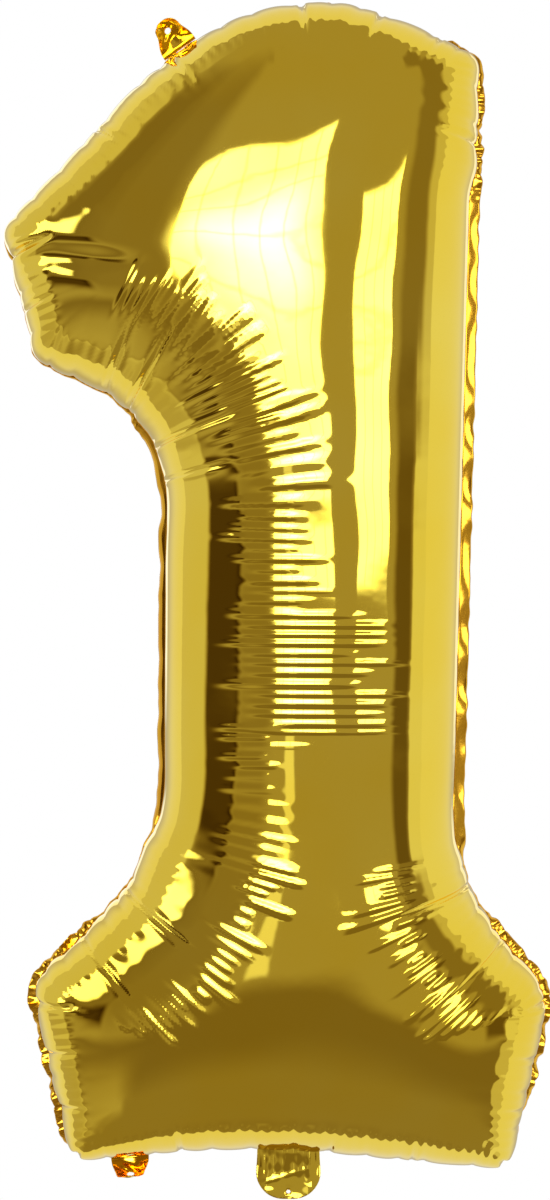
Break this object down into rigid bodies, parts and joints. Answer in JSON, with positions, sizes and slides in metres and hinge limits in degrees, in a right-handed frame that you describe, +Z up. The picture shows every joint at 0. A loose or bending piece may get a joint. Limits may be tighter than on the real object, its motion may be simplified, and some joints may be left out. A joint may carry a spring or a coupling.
{
  "type": "foil number balloon",
  "caption": "Inflated foil balloon in the shape of the number one, with a welded margin, a filling tail with a film valve and punched hanging tabs.",
  "frame": {"origin": "middle of the mouth of the filling tail, where the balloon is filled and tied", "axes": "+X to the right as the number is read from the front, +Y to the back, +Z up; the weld lies in the plane Y = 0"},
  "size_m": [0.4115, 0.185, 0.8928],
  "materials": {
    "gold_foil": "mirror-bright gold metallised film, tight and creased at the seam",
    "margin_foil": "gold metallised film, crinkled where it is welded",
    "valve_film": "clear heat-sealed film"
  },
  "bodies": {
    "envelope": {"front_foil_panel": "gold_foil", "back_foil_panel": "gold_foil", "seam_margin": "margin_foil", "front_neck_film": "valve_film", "back_neck_film": "valve_film"},
    "tail": {"front_tail_ply": "gold_foil", "back_tail_ply": "gold_foil", "front_tail_film": "valve_film", "back_tail_film": "valve_film"},
    "front_flap": {"front_valve_flap": "valve_film"},
    "back_flap": {"back_valve_flap": "valve_film"},
    "top_tab": {"top_hanging_tab": "margin_foil"},
    "base_tab": {"base_hanging_tab": "margin_foil"}
  },
  "joints": [
    {"name": "tail_bend", "type": "hinge", "parent": "envelope", "child": "tail", "pos_m": [0, 0, 0.0335], "axis": [1, 0, 0], "range_deg": [-75, 75]},
    {"name": "front_flap_open", "type": "hinge", "parent": "envelope", "child": "front_flap", "pos_m": [0, -0.00017, 0.0453], "axis": [1, 0, 0], "range_deg": [0, 12]},
    {"name": "back_flap_open", "type": "hinge", "parent": "envelope", "child": "back_flap", "pos_m": [0, 0.00017, 0.0453], "axis": [1, 0, 0], "range_deg": [-12, 0]},
    {"name": "top_tab_fold", "type": "hinge", "parent": "envelope", "child": "top_tab", "pos_m": [-0.08259, 0, 0.86018], "axis": [0.8082, 0, 0.5889], "range_deg": [-75, 75]},
    {"name": "base_tab_fold", "type": "hinge", "parent": "envelope", "child": "base_tab", "pos_m": [-0.11813, 0, 0.02946], "axis": [0.9958, 0, 0.0915], "range_deg": [-75, 75]}
  ]
}
